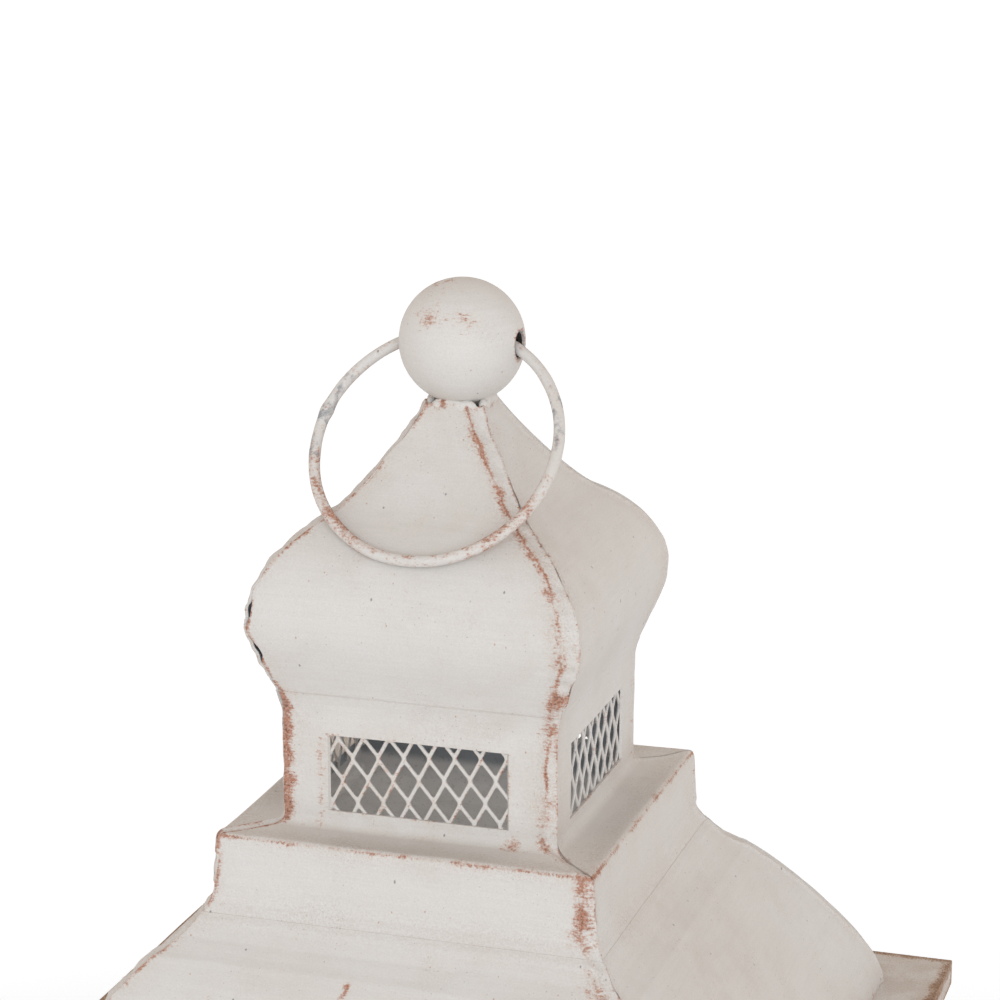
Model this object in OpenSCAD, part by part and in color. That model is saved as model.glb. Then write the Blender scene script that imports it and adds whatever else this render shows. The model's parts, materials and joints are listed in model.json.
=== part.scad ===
// Candle lantern in painted sheet metal: a pagoda roof of four bent panels with a vented box and an
// onion cap, a ball finial with a swinging ring, a glazed body with a hinged door, and a plinth on
// ball feet. +Z is up, the door faces -Y, and the origin is on the ground under the lantern's centre.

/* [Plates] */
// Width of the square eave plate and of the matching base plate
plate_w = 284; // [280:2:300]
// Height of the lip turned down around both plates
lip_h = 9.5; // [7:0.5:12]
// Sheet thickness of the plates
plate_t = 1; // [0.8:0.1:1.2]

/* [Roof] */
// Sheet thickness of the four roof panels
sheet = 0.8; // [0.6:0.1:1]
// Height from the eave plate to the shelf around the vent box
roof_h = 100; // [95:1:105]
// Half width of the roof's foot on the eave plate
roof_hw = 121; // [119:1:124]
// Half width of the upright collar under the shelf
collar_hw = 64; // [63.5:0.5:66]
// Half width of the shelf around the vent box
shelf_hw = 62.9; // [62:0.1:63.4]
// Half width of the vent box
vent_hw = 46; // [45:0.5:47]
// Height of the vent box's upright wall
vent_h = 37; // [36:0.5:39]
// Half width of the cap where it swells most
cap_hw = 55.3; // [54:0.1:56]
// Half width of the cap's neck under the ball
neck_hw = 9.5; // [9:0.1:10.5]
// Height of the neck above the shelf
neck_h = 133; // [132.5:0.1:133.3]

/* [Vent windows] */
// Width of the window in each side of the vent box
window_w = 60.6; // [56:0.2:62]
// Height of that window
window_h = 25.5; // [22:0.5:26]
// Height of the window's sill above the shelf
window_sill = 5.5; // [5:0.1:6]
// Width of one diamond of the expanded metal
mesh_pitch_x = 8.6; // [8:0.1:10]
// Height of one diamond of the expanded metal
mesh_pitch_z = 14.8; // [14:0.1:16]
// Width of the strands between the diamonds
strand_w = 1.3; // [1:0.1:1.6]

/* [Finial and ring] */
// Radius of the hollow ball
ball_r = 20.3; // [20:0.1:20.6]
// Wall thickness of the ball
ball_wall = 1; // [0.8:0.1:1.2]
// Height of the ball's centre above the shelf
ball_h = 152; // [152:0.1:152.4]
// Radius of the two holes that the ring hangs in
ring_hole_r = 4.4; // [4.4:0.1:5]
// Radius of the ring, to the centre of its wire
ring_r = 40.35; // [40.3:0.05:40.6]
// Radius of the ring's wire
wire_r = 1.9; // [1.7:0.1:1.9]
// Distance from the hole axis to the ring's centre
ring_drop = 37.1; // [37:0.05:37.3]
// Angle of the ring at rest on the cap, from hanging straight down
ring_lean = 38.8; // [38.8:0.2:45]
// Turn of the hole axis about the vertical
ring_turn = 3; // [0:0.5:4]

/* [Body] */
// Outer half width of the glazed body
body_hw = 118; // [117:1:119]
// Height between the floor plate and the eave plate
body_h = 350; // [320:5:400]
// Leg width of the corner posts and height of the rails
post_w = 16; // [15:1:18]
// Sheet thickness of posts and rails
post_t = 1.2; // [1:0.1:1.5]
// Thickness of the glass
glass_t = 2; // [1.8:0.1:2.2]

/* [Door] */
// Width of the door's stiles and rails
stile_w = 14; // [13:1:15]
// Thickness of the door's frame
door_t = 2; // [1.8:0.1:2.2]
// Gap around the door
door_gap = 1; // [0.8:0.1:1.2]
// Outer radius of the hinge knuckles
knuckle_r = 2.5; // [2.4:0.1:2.6]
// Radius of the hinge pins
pin_r = 1.2; // [1.1:0.1:1.3]
// Running clearance of what turns on a pin or rivet
running_fit = 0.07; // [0.05:0.01:0.1]
// Height of the turn button's rivet above the floor plate
latch_h = 205; // [190:5:220]

/* [Base] */
// Height of the ball feet under the base plate
foot_h = 30; // [28:1:32]
// Radius of the ball feet
foot_r = 16; // [15.5:0.5:18]
// Half width of the plinth where it stands on the base plate
plinth_hw = 130; // [128:1:132]
// Height of the plinth
plinth_h = 27; // [24:1:30]
// Radius of the candle dish's floor
dish_r = 44; // [38:1:50]
// Length of the spike that holds the candle
spike_h = 28; // [20:1:32]

/* [Hidden] */
SIDES = ["front", "right", "back", "left"];
CORNERS = ["front_right", "back_right", "back_left", "front_left"];
$fn = 64;

cream = "#dcd8d0";
worn_cream = "#cfc8bd";
zinc = "#8b8c8c";
clear = [0.85, 0.92, 0.93, 0.35];
cut = 1; // how far a cutting solid runs past the face it cuts

// levels, from the ground up
base_z = foot_h;                         // underside of the base plate's sheet
plinth_z = base_z + plate_t;             // top of the base plate
floor_z = plinth_z + plinth_h + plate_t; // top of the floor plate
eave_z = floor_z + body_h + plate_t;     // top of the eave plate
shelf_z = eave_z + roof_h;
ball_z = shelf_z + ball_h;
post_top_z = eave_z - plate_t;

// half widths
floor_hw = roof_hw;
opening_hw = 96;               // the hole in the eave plate under the roof
inner_hw = body_hw - post_w;   // from the centre to a post's edge
glass_lap = 5;                 // how far a pane lies behind the posts
foot_at = 116;

// glass and its clips
clip_w = 8;
clip_t = 1;
clip_foot = 5;
clip_tongue = 4;
clip_at = 60;
pane_edge = 6;                 // from the plate to the pane's edge

// the door's frame, on the front
door_hw = inner_hw - door_gap;
door_low = floor_z + post_w + door_gap;
door_high = post_top_z - post_w - door_gap;
glazing_lap = 6;

// hinges: the knuckles stand proud of the front, over the gap beside the door
leaf_t = 0.8;
leaf_w = 9;
leaf_h = 36;
knuckle_gap = 0.3;
knuckle_air = 0.3;             // between a knuckle and the face behind it
hinge_x = -inner_hw + door_gap / 2;
hinge_y = -body_hw - knuckle_r - knuckle_air;
hinge_at = [door_high - 70, door_low + 34];

// turn button
latch_x = body_hw - post_w / 2;
latch_z = floor_z + latch_h;
latch_len = 22;
lever_t = 1.4;
lever_air = 0.2;
collar_t = 0.4;
rivet_r = 2;

// the roof panel's outline as half width and height above the shelf, from the neck down
function bezier(a, b, c, d, n) = [for (i = [1:n]) let (t = i / n, u = 1 - t)
    u * u * u * a + 3 * u * u * t * b + 3 * u * t * t * c + t * t * t * d];
function arc(centre, r, from, to, n) = [for (i = [0:n]) let (a = from + (to - from) * i / n)
    centre + r * [cos(a), sin(a)]];
shoulder = [35.7, 99.1];
swell_h = 69.1;
cove_r = 3.5;                  // bend from the vent box's wall to the shelf
edge_r = 2;                    // bend from the shelf to the collar
collar_low = [collar_hw, -18];
roof_knee = [78.4, -37.1];
roof_line = concat(
    [[neck_hw, neck_h]],
    bezier([neck_hw, neck_h], [15.6, 121.9], [29.2, 103.3], shoulder, 8),
    bezier(shoulder, [51.5, 88.9], [cap_hw, 76.1], [cap_hw, swell_h], 8),
    bezier([cap_hw, swell_h], [cap_hw, 57.6], [vent_hw, 47.3], [vent_hw, vent_h], 8),
    arc([vent_hw + cove_r, cove_r], cove_r, 180, 270, 4),
    arc([shelf_hw - edge_r, -edge_r], edge_r, 90, 0, 4),
    [collar_low],
    bezier(collar_low, [collar_hw, -21.4], [67.3, -28.4], roof_knee, 6),
    bezier(roof_knee, [89, -45.3], [roof_hw, 12.4 - roof_h], [roof_hw, -roof_h], 10)
);

// the plinth panel's outline as half width and height above the base plate, from the top down
plinth_line = concat(
    [[floor_hw, plinth_h]],
    bezier([floor_hw, plinth_h], [floor_hw, 0.45 * plinth_h], [plinth_hw, 0.55 * plinth_h], [plinth_hw, 0], 10)
);

// the same line moved inwards by t, square to itself at every point
function unit(v) = v / norm(v);
function along(line, i) = unit(line[min(i + 1, len(line) - 1)] - line[max(i - 1, 0)]);
function inset(line, t) = [for (i = [0:len(line) - 1]) line[i] + t * [along(line, i)[1], -along(line, i)[0]]];
function level_ends(line, outer) = [for (i = [0:len(line) - 1])
    i == 0 ? [line[i][0], outer[0][1]] :
    i == len(line) - 1 ? [line[i][0], outer[i][1]] : line[i]];
function reversed(line) = [for (i = [len(line) - 1:-1:0]) line[i]];
function sheet_outline(line, t) = concat(line, reversed(level_ends(inset(line, t), line)));

// turns something made for the front or the front right corner to side or corner k
module on_side(k) rotate([0, 0, 90 * k]) children();

// an outline of distance outwards and height, drawn out along the front
module along_front(length) rotate([90, 0, -90]) linear_extrude(length, center = true) children();

// the quarter of the lantern that belongs to the front, between the two mitre planes
module front_quarter(low, high, reach)
    translate([0, 0, low]) linear_extrude(high - low) polygon([[0, 0], [-reach, -reach], [reach, -reach]]);

module square_plate(half, z, t) translate([-half, -half, z]) cube([2 * half, 2 * half, t]);

module lipped_plate(top_z) difference() {
    square_plate(plate_w / 2, top_z - lip_h, lip_h);
    square_plate(plate_w / 2 - plate_t, top_z - lip_h - cut, lip_h - plate_t + cut);
}

module roof_panel(k) color(cream) on_side(k) difference() {
    intersection() {
        translate([0, 0, shelf_z])
            along_front(2 * plate_w) polygon(sheet_outline(roof_line, sheet));
        front_quarter(eave_z - cut, shelf_z + neck_h + cut, plate_w);
    }
    translate([-window_w / 2, -vent_hw - cut, shelf_z + window_sill])
        cube([window_w, sheet + 2 * cut, window_h]);
}

// expanded metal: one sheet slit and stretched into diamonds, behind the window
mesh_t = 1;
mesh_size = [68, 31];
mesh_rim = 1.2;
mesh_turn = [6, -3, 4, -5]; // each piece was set in slightly out of square
edge_distance = mesh_pitch_x * mesh_pitch_z / 2 / norm([mesh_pitch_x, mesh_pitch_z]);
hole_scale = 1 - strand_w / 2 / edge_distance;
module diamond() polygon([for (a = [0:90:270])
    hole_scale / 2 * [mesh_pitch_x * cos(a), mesh_pitch_z * sin(a)]]);
module diamonds() for (row = [-4:4], column = [-5:5])
    translate([(column + (row % 2 == 0 ? 0 : 0.5)) * mesh_pitch_x, row * mesh_pitch_z / 2]) diamond();
module vent_mesh(k) color(worn_cream) on_side(k)
    translate([0, mesh_t + sheet - vent_hw, shelf_z + window_sill + window_h / 2])
    rotate([90, 0, 0]) linear_extrude(mesh_t) difference() {
        square(mesh_size, center = true);
        intersection() {
            square(mesh_size - 2 * mesh_rim * [1, 1], center = true);
            rotate(mesh_turn[k]) diamonds();
        }
    }

module at_ball() translate([0, 0, ball_z]) rotate([0, 0, -ring_turn]) children();

module finial_ball() color(cream) at_ball() difference() {
    sphere(ball_r);
    sphere(ball_r - ball_wall);
    rotate([0, 90, 0]) cylinder(r = ring_hole_r, h = 3 * ball_r, center = true);
}

// the ring leans forward from hanging straight down until it rests on the cap
module handle_ring() color(worn_cream) at_ball() rotate([-ring_lean, 0, 0])
    translate([0, 0, -ring_drop]) rotate([90, 0, 0])
    rotate_extrude() translate([ring_r, 0]) circle(wire_r);

// a run of solder along each edge of the neck, under the ball
bead_r = 2.4;
bead_half = 7.5;
module solder_run() rotate([0, 90, 0]) rotate_extrude() polygon([
    [0, -bead_half], [bead_r - 0.9, 0.3 - bead_half], [bead_r, 2 - bead_half],
    [bead_r, bead_half - 2], [bead_r - 0.9, bead_half - 0.3], [0, bead_half]]);
module finial_solder() color(worn_cream) for (k = [0:3]) difference() {
    on_side(k) translate([0, -neck_hw, shelf_z + neck_h + 0.4]) solder_run();
    translate([0, 0, ball_z]) sphere(ball_r);
    on_side(k) translate([0, 0, shelf_z])
        along_front(4 * bead_half) polygon(sheet_outline(roof_line, sheet));
}

module eave_plate() color(cream) difference() {
    lipped_plate(eave_z);
    square_plate(opening_hw, eave_z - lip_h, 2 * lip_h);
}

// an L of bent sheet; the front right one has the turn button's rivet through it
module corner_post(k) color(cream) difference() {
    on_side(k) translate([inner_hw, -body_hw, floor_z]) difference() {
        cube([post_w, post_w, body_h]);
        translate([-cut, post_t, -cut]) cube([post_w - post_t + cut, post_w, body_h + 2 * cut]);
    }
    if (k == 0) latch_shank(rivet_r, -body_hw - cut, post_t + 2 * cut);
}

module rail(k, z) color(cream) on_side(k)
    translate([-inner_hw, -body_hw, z]) cube([2 * inner_hw, post_t, post_w]);
module top_rail(k) rail(k, post_top_z - post_w);
module bottom_rail(k) rail(k, floor_z);

// a pane or clips against a face at distance face_hw from the centre, between two heights
module pane(half, face_hw, low, high)
    translate([-half, -face_hw, low]) cube([2 * half, glass_t, high - low]);
module clip() rotate([90, 0, 90]) linear_extrude(clip_w, center = true) polygon([
    [0, -clip_foot], [clip_t, -clip_foot], [clip_t, -clip_t],
    [glass_t + clip_t, -clip_t], [glass_t + clip_t, clip_tongue],
    [glass_t, clip_tongue], [glass_t, 0], [0, 0]]);
module pane_clips(face_hw, low, high) for (x = [-clip_at, clip_at]) translate([x, -face_hw, 0]) {
    translate([0, 0, low]) clip();
    translate([0, 0, high]) mirror([0, 0, 1]) clip();
}

side_face_hw = body_hw - post_t;
pane_low = floor_z + pane_edge;
pane_high = post_top_z - pane_edge;
module glass_pane(k) color(clear) on_side(k)
    pane(inner_hw + glass_lap, side_face_hw, pane_low, pane_high);
module glass_clips(k) color(zinc) on_side(k) pane_clips(side_face_hw, pane_low, pane_high);

door_glass_low = door_low + stile_w - glazing_lap - 2;
door_glass_high = door_high - stile_w + glazing_lap + 2;
door_face_hw = body_hw - door_t;
module door_stile(x) color(cream)
    translate([x, -body_hw, door_low]) cube([stile_w, door_t, door_high - door_low]);
module door_rail(z) color(cream)
    translate([stile_w - door_hw, -body_hw, z]) cube([2 * (door_hw - stile_w), door_t, stile_w]);
module door_stile_hinge_side() door_stile(-door_hw);
module door_stile_latch_side() door_stile(door_hw - stile_w);
module door_rail_top() door_rail(door_high - stile_w);
module door_rail_bottom() door_rail(door_low);
module door_glass() color(clear)
    pane(door_hw - stile_w + glazing_lap, door_face_hw, door_glass_low, door_glass_high);
module door_glass_clips() color(zinc) pane_clips(door_face_hw, door_glass_low, door_glass_high);

// a ball on a stem, turned about the axis that comes out of the front
knob_z = floor_z + latch_h - 45;
knob_r = 6;
module door_knob() color(worn_cream)
    translate([door_hw - stile_w / 2, -body_hw, knob_z]) rotate([90, 0, 0]) {
        cylinder(r = 5, h = 1);
        cylinder(r = 2.2, h = 6);
        translate([0, 0, 4 + knob_r]) sphere(knob_r);
    }

// bent tabs inside the latch side post, which the closed door rests against
stop_air = 0.3;
module door_stops() color(zinc) for (z = [door_low + 20, door_high - 35])
    translate([inner_hw - clip_foot, 0, z]) {
        translate([0, stop_air - door_face_hw, 0]) cube([15, clip_t, 12]);
        translate([7, -side_face_hw, 0]) cube([8, side_face_hw - door_face_hw + stop_air, 12]);
    }

// one knuckle from height a to b, with the strip of leaf that it is rolled from; way is -1 or 1
module knuckle(way, a, b) {
    translate([0, 0, a]) cylinder(r = knuckle_r, h = b - a);
    translate([way < 0 ? -leaf_clear : 0, knuckle_r + knuckle_air - leaf_t, a])
        cube([leaf_clear, leaf_t, b - a]);
}
leaf_clear = knuckle_r + 0.7; // how far a leaf stays from the other leaf's knuckle
module leaf(way, spans, bore_r) difference() {
    union() {
        translate([way < 0 ? -leaf_clear - leaf_w : leaf_clear, knuckle_r + knuckle_air - leaf_t, 0])
            cube([leaf_w, leaf_t, leaf_h]);
        for (s = spans) knuckle(way, s[0], s[1]);
    }
    translate([0, 0, -cut]) cylinder(r = bore_r, h = leaf_h + 2 * cut);
}
third = leaf_h / 3;
module at_hinge(i) translate([hinge_x, hinge_y, hinge_at[i]]) children();
module hinge_post_leaf(i) color(worn_cream) at_hinge(i)
    leaf(-1, [[0, third], [2 * third, leaf_h]], pin_r);
module hinge_door_leaf(i) color(worn_cream) at_hinge(i)
    leaf(1, [[third + knuckle_gap, 2 * third - knuckle_gap]], pin_r + running_fit);
module hinge_pin(i) color(zinc) at_hinge(i) {
    cylinder(r = pin_r, h = leaf_h);
    translate([0, 0, leaf_h]) cylinder(r = 2.2, h = 1.2);
}

// a round length along Y through the turn button's pivot
module latch_shank(r, y, length)
    translate([latch_x, y, latch_z]) rotate([-90, 0, 0]) cylinder(r = r, h = length);
lever_y = -body_hw - collar_t - lever_air - lever_t;
module latch_rivet() color(worn_cream) {
    latch_shank(rivet_r, lever_y - lever_air, lever_t + 2 * lever_air + collar_t + post_t);
    latch_shank(4, lever_y - lever_air - 1.2, 1.2);
    latch_shank(3.5, -body_hw - collar_t, collar_t);
    latch_shank(3.2, -side_face_hw, 0.8);
}
// the button hangs straight down when it is off the door
lever_w = 7;
module latch_lever() color(worn_cream) difference() {
    union() {
        latch_shank(5, lever_y, lever_t);
        translate([latch_x - lever_w / 2, lever_y, latch_z - latch_len])
            cube([lever_w, lever_t, latch_len]);
        translate([0, 0, -latch_len]) latch_shank(lever_w / 2, lever_y, lever_t);
        translate([0, 0, -latch_len]) latch_shank(1.8, lever_y - 3, 3 + lever_t / 2);
    }
    latch_shank(rivet_r + running_fit, lever_y - cut, lever_t + 2 * cut);
}

module floor_plate() color(cream) square_plate(floor_hw, floor_z - plate_t, plate_t);
module base_plate() color(cream) lipped_plate(plinth_z);
module base_skirt(k) color(cream) on_side(k) intersection() {
    translate([0, 0, plinth_z]) along_front(2 * plate_w) polygon(sheet_outline(plinth_line, sheet));
    front_quarter(plinth_z - cut, floor_z + cut, plate_w);
}
module foot(k) color(cream) on_side(k) intersection() {
    translate([foot_at, -foot_at, foot_h / 2]) sphere(foot_r);
    square_plate(plate_w, 0, foot_h);
}

// a shallow dish with a flared rim, and the spike soldered to its floor
dish_t = 1;
module candle_dish() color(zinc) translate([0, 0, floor_z]) rotate_extrude() polygon([
    [0, 0], [dish_r, 0], [dish_r + 6, 8], [dish_r + 5, 8.4], [dish_r - 0.6, dish_t], [0, dish_t]]);
module candle_spike() color(zinc) translate([0, 0, floor_z + dish_t]) {
    cylinder(r = 7, h = 1.2);
    cylinder(r1 = 2.4, r2 = 0.5, h = spike_h);
}

finial_ball();
handle_ring();
finial_solder();
for (k = [0:3]) {
    roof_panel(k);
    vent_mesh(k);
    corner_post(k);
    top_rail(k);
    bottom_rail(k);
    base_skirt(k);
    foot(k);
}
eave_plate();
for (k = [1:3]) {
    glass_pane(k);
    glass_clips(k);
}
door_stile_hinge_side();
door_stile_latch_side();
door_rail_top();
door_rail_bottom();
door_glass();
door_glass_clips();
door_knob();
door_stops();
hinge_post_leaf(0);  // hinge_upper_post_leaf
hinge_door_leaf(0);  // hinge_upper_door_leaf
hinge_pin(0);  // hinge_upper_pin
hinge_post_leaf(1);  // hinge_lower_post_leaf
hinge_door_leaf(1);  // hinge_lower_door_leaf
hinge_pin(1);  // hinge_lower_pin
latch_lever();
latch_rivet();
floor_plate();
base_plate();
candle_dish();
candle_spike();
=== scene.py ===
"""Looks of the candle lantern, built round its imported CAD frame.

Sizes are in millimetres and become metres where a mesh is made. Each side of the lantern is made once,
in the front's own terms (x along the side, outwards, up), and turned into place. Sides and corners are
numbered as in SIDES and CORNERS, so corner k is at the right of side k, seen from outside.
"""
import json
import math

import bmesh
import bpy
from mathutils import Matrix, Vector, kdtree, noise


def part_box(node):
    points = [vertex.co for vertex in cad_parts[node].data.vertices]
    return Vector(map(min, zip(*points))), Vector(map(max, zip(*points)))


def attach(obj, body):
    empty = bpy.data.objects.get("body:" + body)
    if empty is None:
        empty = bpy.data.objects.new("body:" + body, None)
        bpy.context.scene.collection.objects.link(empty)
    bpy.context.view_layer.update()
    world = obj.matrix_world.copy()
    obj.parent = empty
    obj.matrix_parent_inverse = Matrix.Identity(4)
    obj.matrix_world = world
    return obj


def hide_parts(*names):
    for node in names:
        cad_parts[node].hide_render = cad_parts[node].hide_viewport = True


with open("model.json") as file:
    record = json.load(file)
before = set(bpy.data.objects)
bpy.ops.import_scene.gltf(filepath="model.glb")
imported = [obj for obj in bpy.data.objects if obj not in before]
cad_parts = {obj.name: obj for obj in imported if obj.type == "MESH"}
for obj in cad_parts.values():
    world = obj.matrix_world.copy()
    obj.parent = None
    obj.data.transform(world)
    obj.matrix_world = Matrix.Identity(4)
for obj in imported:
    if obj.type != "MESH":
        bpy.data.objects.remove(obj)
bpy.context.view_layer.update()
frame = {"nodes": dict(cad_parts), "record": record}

MM = 0.001
SIDES = ("front", "right", "back", "left")
CORNERS = ("front_right", "back_right", "back_left", "front_left")


# ---------------------------------------------------------------- sizes

EAVE_Z = (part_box("eave_plate")[1] / MM).z
SHELF_Z = EAVE_Z + 100
SHEET = 0.8
# the roof's outline from the top down, as half width and height above the shelf
NECK = (9.5, 133.0)
SHOULDER = (35.7, 99.1)
SWELL = (55.3, 69.1)
CREASE_Z = 44.7
BOX_TOP = (46.0, 37.0)
COVE_R = 3.5
SHELF_DIP = 0.35
EDGE_R = 2.0
SHELF_HW = 62.9
COLLAR_LOW = (64.0, -18.0)
COLLAR_BEND_Z = -25.5
KNEE = (78.4, -37.1)
FOOT = (121.0, -100.0)
# the vent box's window and the expanded metal behind it, turned a few degrees on each side
SILL = 5.5
WINDOW_HW = 30.3
WINDOW_H = 25.5
MESH_HW = 34.0
MESH_HH = 15.5
MESH_TURN = (6, -3, 4, -5)
PITCH_X = 8.6
PITCH_Z = 14.8
# the ball and its ring, whose plane leans out from the ball to rest on the cap
BALL_R = 20.3
BALL_WALL = 1.0
BALL_Z = 662.0
HOLE_R = 4.4
RING_TURN = 3
RING_R = 40.35
WIRE_R = 1.9
RING_DROP = 37.1
RING_LEAN = 38.8


# ---------------------------------------------------------------- camera, lights and floor

LENS = 113.3
CAMERA_AT = (0.312, -0.934, 0.869)
CAMERA_DIP = 14.78
CAMERA_TURN = 17.77
GROUND_GLOW = (1.04, 1.04, 1.04, 1)
LEVEL_GLOW = (0.68, 0.58, 0.49, 1)
SKY_GLOW = (0.69, 0.66, 0.63, 1)


def camera():
    data = bpy.data.cameras.new("camera")
    data.lens = LENS
    data.clip_start = 0.05
    data.clip_end = 200
    rig = bpy.data.objects.new("camera", data)
    bpy.context.scene.collection.objects.link(rig)
    rig.location = CAMERA_AT
    rig.rotation_euler = (math.radians(90 - CAMERA_DIP), 0, math.radians(CAMERA_TURN))
    bpy.context.scene.camera = rig


def soft_light(name, towards, strength, angle, color):
    """A sun lamp that shines towards a direction, its angle in degrees making the shadows soft."""
    data = bpy.data.lights.new(name, "SUN")
    data.energy = strength
    data.angle = math.radians(angle)
    data.color = color
    lamp = bpy.data.objects.new(name, data)
    bpy.context.scene.collection.objects.link(lamp)
    lamp.rotation_euler = Vector(towards).to_track_quat("-Z", "Y").to_euler()


def lights():
    """A bright low surround, a dimmer sky, and a soft cool light from behind the camera."""
    world = bpy.data.worlds.new("studio")
    bpy.context.scene.world = world
    world.use_nodes = True
    tree = world.node_tree
    tree.nodes.clear()
    place = tree.nodes.new("ShaderNodeTexCoord")
    split = tree.nodes.new("ShaderNodeSeparateXYZ")
    ramp = tree.nodes.new("ShaderNodeValToRGB")
    back = tree.nodes.new("ShaderNodeBackground")
    out = tree.nodes.new("ShaderNodeOutputWorld")
    stops = ramp.color_ramp.elements
    stops[0].position = 0.0
    stops[0].color = GROUND_GLOW
    stops[1].position = 1.0
    stops[1].color = SKY_GLOW
    middle = stops.new(0.45)
    middle.color = LEVEL_GLOW
    tree.links.new(place.outputs["Generated"], split.inputs[0])
    tree.links.new(split.outputs["Z"], ramp.inputs[0])
    tree.links.new(ramp.outputs[0], back.inputs[0])
    tree.links.new(back.outputs[0], out.inputs[0])
    soft_light("window_light", (-0.33, 0.90, -0.30), 1.42, 50, (0.72, 0.87, 1.0))
    bpy.context.scene.view_settings.view_transform = "Standard"
    bpy.context.scene.view_settings.look = "None"


def floor():
    """Glowing pale paper, with painted shade near the lantern, brighter away from it where it runs into the
    white surround.
    """
    half = 30.0
    corners = [(-half, -half, 0), (half, -half, 0), (half, half, 0), (-half, half, 0)]
    mesh = bpy.data.meshes.new("floor")
    mesh.from_pydata(corners, [], [(0, 1, 2, 3)])
    ground = bpy.data.objects.new("floor", mesh)
    bpy.context.scene.collection.objects.link(ground)
    g = Graph("floor_paper")
    away = g.add("ShaderNodeVectorMath", operation="LENGTH")
    g.feed(away.inputs[0], g.add("ShaderNodeTexCoord").outputs["Object"])
    # painted shade: the paper is darker and glows less close to the lantern
    far = g.step(away.outputs["Value"], 0.45, 1.2)
    g.done(color=g.mix((0.60, 0.592, 0.585), (0.82, 0.815, 0.81), far), roughness=0.9, specular=0.1,
           emission=g.mix((0.22, 0.24, 0.27), (0.69, 0.76, 0.83), far), emission_strength=0.56)
    mesh.materials.append(g.material)


# ---------------------------------------------------------------- materials

class Graph:
    """A material's nodes, written as expressions."""

    def __init__(self, name):
        self.material = bpy.data.materials.new(name)
        self.material.use_nodes = True
        self.tree = self.material.node_tree
        self.tree.nodes.clear()

    def add(self, kind, **values):
        node = self.tree.nodes.new(kind)
        for key, value in values.items():
            setattr(node, key, value)
        return node

    def feed(self, socket, value):
        if isinstance(value, bpy.types.NodeSocket):
            self.tree.links.new(value, socket)
        elif isinstance(value, tuple) and len(value) == 3 and len(socket.default_value) == 4:
            socket.default_value = (*value, 1)
        else:
            socket.default_value = value

    def math(self, operation, *values, clamp=False):
        node = self.add("ShaderNodeMath", operation=operation, use_clamp=clamp)
        for socket, value in zip(node.inputs, values):
            self.feed(socket, value)
        return node.outputs[0]

    def plus(self, a, b):
        return self.math("ADD", a, b)

    def minus(self, a, b):
        return self.math("SUBTRACT", a, b)

    def times(self, a, b, clamp=False):
        return self.math("MULTIPLY", a, b, clamp=clamp)

    def mix(self, a, b, share):
        node = self.add("ShaderNodeMix", data_type="RGBA")
        self.feed(node.inputs["Factor"], share)
        self.feed(node.inputs[6], a)
        self.feed(node.inputs[7], b)
        return node.outputs[2]

    def step(self, value, low, high, to_low=0.0, to_high=1.0):
        """A smooth step of a value, which may run downwards."""
        node = self.add("ShaderNodeMapRange", interpolation_type="SMOOTHSTEP")
        for socket, number in zip(node.inputs, (value, low, high, to_low, to_high)):
            self.feed(socket, number)
        return node.outputs[0]

    def place(self, stretch=(1, 1, 1), shift=(0, 0, 0)):
        """Object coordinates in millimetres, stretched along x, y and z."""
        node = self.add("ShaderNodeMapping")
        self.feed(node.inputs["Vector"], self.add("ShaderNodeTexCoord").outputs["Object"])
        node.inputs["Scale"].default_value = [s / MM for s in stretch]
        node.inputs["Location"].default_value = shift
        return node.outputs[0]

    def noise(self, place, scale, detail=3, roughness=0.55):
        node = self.add("ShaderNodeTexNoise")
        self.feed(node.inputs["Vector"], place)
        node.inputs["Scale"].default_value = scale
        node.inputs["Detail"].default_value = detail
        node.inputs["Roughness"].default_value = roughness
        return node.outputs[0]

    def cells(self, place, scale):
        """Distance to the nearest of scattered points, and a random number for each point."""
        node = self.add("ShaderNodeTexVoronoi")
        self.feed(node.inputs["Vector"], place)
        node.inputs["Scale"].default_value = scale
        pick = self.add("ShaderNodeSeparateColor")
        self.feed(pick.inputs[0], node.outputs["Color"])
        return node.outputs["Distance"], pick.outputs[0]

    def specks(self, place, scale, radius, share):
        """1 inside small spots, kept for a share of the scattered points."""
        distance, chance = self.cells(place, scale)
        spot = self.step(distance, radius, radius * 0.55)
        return self.times(spot, self.math("LESS_THAN", chance, share))

    def attribute(self, name):
        return self.add("ShaderNodeAttribute", attribute_name=name).outputs["Fac"]

    def bump(self, height, distance, strength=1.0, below=None):
        node = self.add("ShaderNodeBump")
        node.inputs["Strength"].default_value = strength
        node.inputs["Distance"].default_value = distance * MM
        self.feed(node.inputs["Height"], height)
        if below is not None:
            self.feed(node.inputs["Normal"], below)
        return node.outputs[0]

    def done(self, color, roughness, metallic=0.0, specular=0.3, normal=None,
             emission=None, emission_strength=0.0):
        """Ends the graph in one shader."""
        shader = self.add("ShaderNodeBsdfPrincipled")
        self.feed(shader.inputs["Base Color"], color)
        self.feed(shader.inputs["Roughness"], roughness)
        self.feed(shader.inputs["Metallic"], metallic)
        shader.inputs["Specular IOR Level"].default_value = specular
        if normal is not None:
            self.feed(shader.inputs["Normal"], normal)
        if emission is not None:
            self.feed(shader.inputs["Emission Color"], emission)
            shader.inputs["Emission Strength"].default_value = emission_strength
        out = self.add("ShaderNodeOutputMaterial")
        self.tree.links.new(shader.outputs[0], out.inputs[0])


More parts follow.
